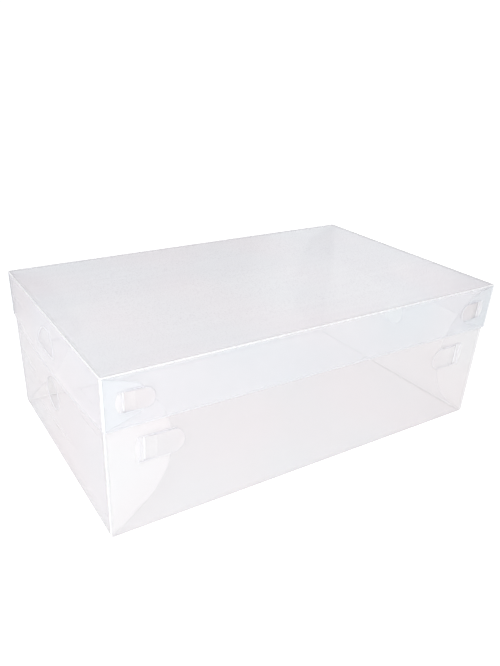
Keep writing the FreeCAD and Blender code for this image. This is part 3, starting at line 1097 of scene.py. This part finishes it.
    def build(self) -> list[bpy.types.Object]:
        """Builds and dresses every piece of the lid.

        Returns:
            The new pieces.
        """
        made = [self.make_top(), self.make_ridge()]
        for piece in made:
            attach(piece, "lid")
        for piece, body in self.make_edges():
            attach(piece, body)
            made.append(piece)
        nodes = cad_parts
        for side in Side:
            dress(nodes[f"lid_{side.name.lower()}_skirt"], self.skirt)
        for end in End:
            dress(nodes[f"lid_{end.name.lower()}_skirt"], self.end_skirt)
        for side, end in CORNERS:
            corner = f"lid_{corner_name(side, end)}"
            dress(nodes[f"{corner}_corner_crease"], self.folds)
            dress(nodes[f"{corner}_flap"], self.flap_sheet)
            dress(nodes[f"{corner}_tongue"], self.tongue_sheet)
        return made


def stood(axes: tuple[np.ndarray, ...], place: tuple[float, float, float]) -> Matrix:
    """Works out the matrix that stands a light or the camera at a place.

    Args:
        axes: Its directions to the right, up and back.
        place: The place.

    Returns:
        The matrix.
    """
    turn = Matrix(np.stack(axes, axis=1).tolist()).to_4x4()
    turn.translation = place
    return turn


@dataclass(frozen=True)
class SoftLight:
    """A square soft light, with the point that it faces, the length of its sides and its watts."""

    name: str
    place: tuple[float, float, float]
    aim: tuple[float, float, float]
    size: float
    power: float

    def build(self) -> None:
        """Adds the light, with two of its sides level."""
        data = bpy.data.lights.new(self.name, "AREA")
        data.shape = "SQUARE"
        data.size = self.size
        data.energy = self.power
        back = np.array(self.place) - np.array(self.aim)
        back /= np.linalg.norm(back)
        right = np.cross(UPWARDS, back)
        right /= np.linalg.norm(right)
        light = bpy.data.objects.new(self.name, data)
        light.matrix_world = stood((right, np.cross(back, right), back), self.place)
        bpy.context.scene.collection.objects.link(light)


@dataclass
class Studio:
    """White sweep paper, even white surroundings, four soft lights and the camera.

    The paper and the surroundings are a plain white where they are seen past the box. What they light
    the box with, and what shows through it, is dimmer, so that clear sheets read as grey against them.
    """

    eye: tuple[float, float, float] = (-0.26216, -0.38210, 0.28214)
    right: tuple[float, float, float] = (0.859072, -0.511079, 0.028155)
    up: tuple[float, float, float] = (0.223812, 0.424535, 0.877313)
    back: tuple[float, float, float] = (-0.460330, -0.747374, 0.479092)
    lens: float = 33.23
    shift: tuple[float, float] = (0.0450, 0.0631)
    surround: float = 0.67
    backdrop: float = 1.05
    floor_half: float = 3.0
    floor_drop: float = 0.4 * MM
    lights: tuple[SoftLight, ...] = (
        SoftLight("front left softbox", (-0.50, -0.62, 0.38), (-0.12, -0.09, 0.07), 0.45, 1.8),
        SoftLight("low right fill", (0.45, -0.75, 0.16), (0.1, -0.1, 0.04), 0.4, 0.4),
        SoftLight("back right softbox", (0.6, 0.5, 0.35), (0.12, 0.05, 0.07), 0.4, 0.4),
        SoftLight("overhead softbox", (-0.6, -0.35, 0.85), (-0.1, -0.05, 0.1), 0.8, 2.8),
    )
    # A line of sight can cross some twenty sheet faces, each of which lets part of it through.
    sheet_crossings: int = 48
    # Light is scattered many times between the sheets before it is lost.
    scatterings: int = 8

    def make_floor(self) -> bpy.types.Object:
        """Builds the floor, a flat grid just under the box.

        Returns:
            The floor.
        """
        span = np.linspace(-self.floor_half, self.floor_half, 7)
        x, y = np.meshgrid(span, span, indexing="ij")
        points = np.stack([x, y, np.full_like(x, -self.floor_drop)], axis=-1)
        floor = make_piece("studio_floor", points, quads(*x.shape))
        dress(floor, SweepPaper("white sweep paper").build())
        return floor

    def make_surroundings(self) -> None:
        """Sets the even white surroundings."""
        world = bpy.data.worlds.new("studio surroundings")
        world.use_nodes = True
        level = node(
            world, "ShaderNodeMapRange", {3: self.surround, 4: self.backdrop},
            in0=seen_directly(world),
        )
        background = world.node_tree.nodes["Background"]
        background.inputs["Color"].default_value = WHITE
        world.node_tree.links.new(level.outputs[0], background.inputs["Strength"])
        bpy.context.scene.world = world

    def make_camera(self) -> None:
        """Adds the camera. Its three axes are its right, its up and its back."""
        data = bpy.data.cameras.new("camera")
        data.lens = self.lens
        data.shift_x, data.shift_y = self.shift
        data.clip_start, data.clip_end = 0.01, 20.0
        camera = bpy.data.objects.new("camera", data)
        camera.matrix_world = stood((self.right, self.up, self.back), self.eye)
        bpy.context.scene.collection.objects.link(camera)
        bpy.context.scene.camera = camera

    def build(self) -> list[bpy.types.Object]:
        """Builds the whole studio.

        Returns:
            The floor.
        """
        self.make_surroundings()
        for light in self.lights:
            light.build()
        self.make_camera()
        scene = bpy.context.scene
        scene.view_settings.view_transform = "Standard"
        scene.cycles.transparent_max_bounces = self.sheet_crossings
        scene.cycles.diffuse_bounces = self.scatterings
        return [self.make_floor()]


def sheet(
    part: str,
    tint: str,
    warm_tint: str,
    haze: float,
    flow: Axis = Axis.LENGTH,
    band: Band | None = None,
) -> bpy.types.Material:
    """Builds the frosted sheet of one part of the box.

    Args:
        part: The part.
        tint: Its cooler colour.
        warm_tint: Its warmer colour.
        haze: How much of what is behind each face it hides.
        flow: The direction of its flow lines.
        band: The strip that folding has whitened.

    Returns:
        The material.
    """
    return FrostedSheet(f"frosted polypropylene {part}", tint, warm_tint, haze, flow, band).build()


def make_body(folds: bpy.types.Material, edges: bpy.types.Material) -> Body:
    """Mixes the finishes of the body: clear walls, and flaps painted lighter, whiter and denser than the
    same sheet in the walls.

    Args:
        folds: The finish of a sharp crease.
        edges: The finish of a cut edge.

    Returns:
        The body, ready to build.
    """
    corner = Band(Axis.LENGTH, 164.3 * MM, 1.0 * MM)
    return Body(
        folds=folds,
        soft_folds=WhitenedFold("wide-creased polypropylene", "#FFFFFF", "#FAFAFC", 0.2).build(),
        edges=edges,
        wall=sheet("long wall", "#F6F6F7", "#F9F5F6", 0.2, band=corner),
        end_wall=sheet(
            "end wall", "#F6F5F8", "#F9F4F6", 0.22, Axis.WIDTH, Band(Axis.WIDTH, 96 * MM, 1.0 * MM)
        ),
        base=sheet("base", "#F8F8F9", "#FAF7F8", 0.3),
        # The flaps are the same sheet as the walls. Their whiter tint and denser haze are painted light,
        # for the brighter look where they lie behind the walls.
        flap_sheet=sheet("flap", "#F9F9FA", "#FAF8F9", 0.5),
        tongue_sheet=sheet(
            "tongue", "#F4F4F5", "#F6F3F4", 0.3, band=Band(Axis.LENGTH, 139 * MM, 1.2 * MM)
        ),
    )


def make_lid(folds: bpy.types.Material, edges: bpy.types.Material) -> Lid:
    """Mixes the finishes of the lid, a little bluer than the body's, with its flaps painted lighter and
    its top painted darker.

    Args:
        folds: The finish of a sharp crease.
        edges: The finish of a cut edge.

    Returns:
        The lid, ready to build.
    """
    corner = Band(Axis.LENGTH, 164.3 * MM, 1.0 * MM)
    return Lid(
        folds=folds,
        ridge=WhitenedFold("folded polypropylene ridge", "#FFFFFF", "#F8F8FB", 0.98).build(),
        edges=edges,
        # The top's grey tint and denser haze are painted shade: they darken the panel, which is the same
        # sheet as the skirts.
        top=sheet("lid top painted darker", "#F1F2F6", "#F4F1F5", 0.4),
        skirt=sheet("lid skirt", "#ECF3F8", "#F2F5F9", 0.2, band=corner),
        end_skirt=sheet(
            "lid end", "#F5F5F9", "#F7F5F8", 0.22, Axis.WIDTH, Band(Axis.WIDTH, 98 * MM, 1.0 * MM)
        ),
        # The flaps are the same sheet as the skirts. Their whiter tint and denser haze are painted light,
        # for the brighter overlaps.
        flap_sheet=sheet("lid flap painted lighter", "#FCFCFD", "#FCFBFC", 0.6),
        tongue_sheet=sheet(
            "lid tongue", "#F4F4F5", "#F6F3F4", 0.3, band=Band(Axis.LENGTH, 151.7 * MM, 1.2 * MM)
        ),
    )


def main() -> None:
    """Builds the body, the lid and the studio, and reports each piece."""
    logging.basicConfig(level=logging.INFO, format="%(message)s")
    folds = WhitenedFold("creased polypropylene").build()
    # The cut edges borrow the crease finish. Their almost opaque white beads are a painted highlight for
    # the light that the edges gather.
    edges = WhitenedFold("die-cut polypropylene edge", "#F9F9FC", "#EDEDF3", 0.75).build()
    for builder in (make_body(folds, edges), make_lid(folds, edges), Studio()):
        for piece in builder.build():
            mesh = piece.data
            log.info("%s: %d points, %d faces", piece.name, len(mesh.vertices), len(mesh.polygons))


if __name__ == "__main__":
    main()
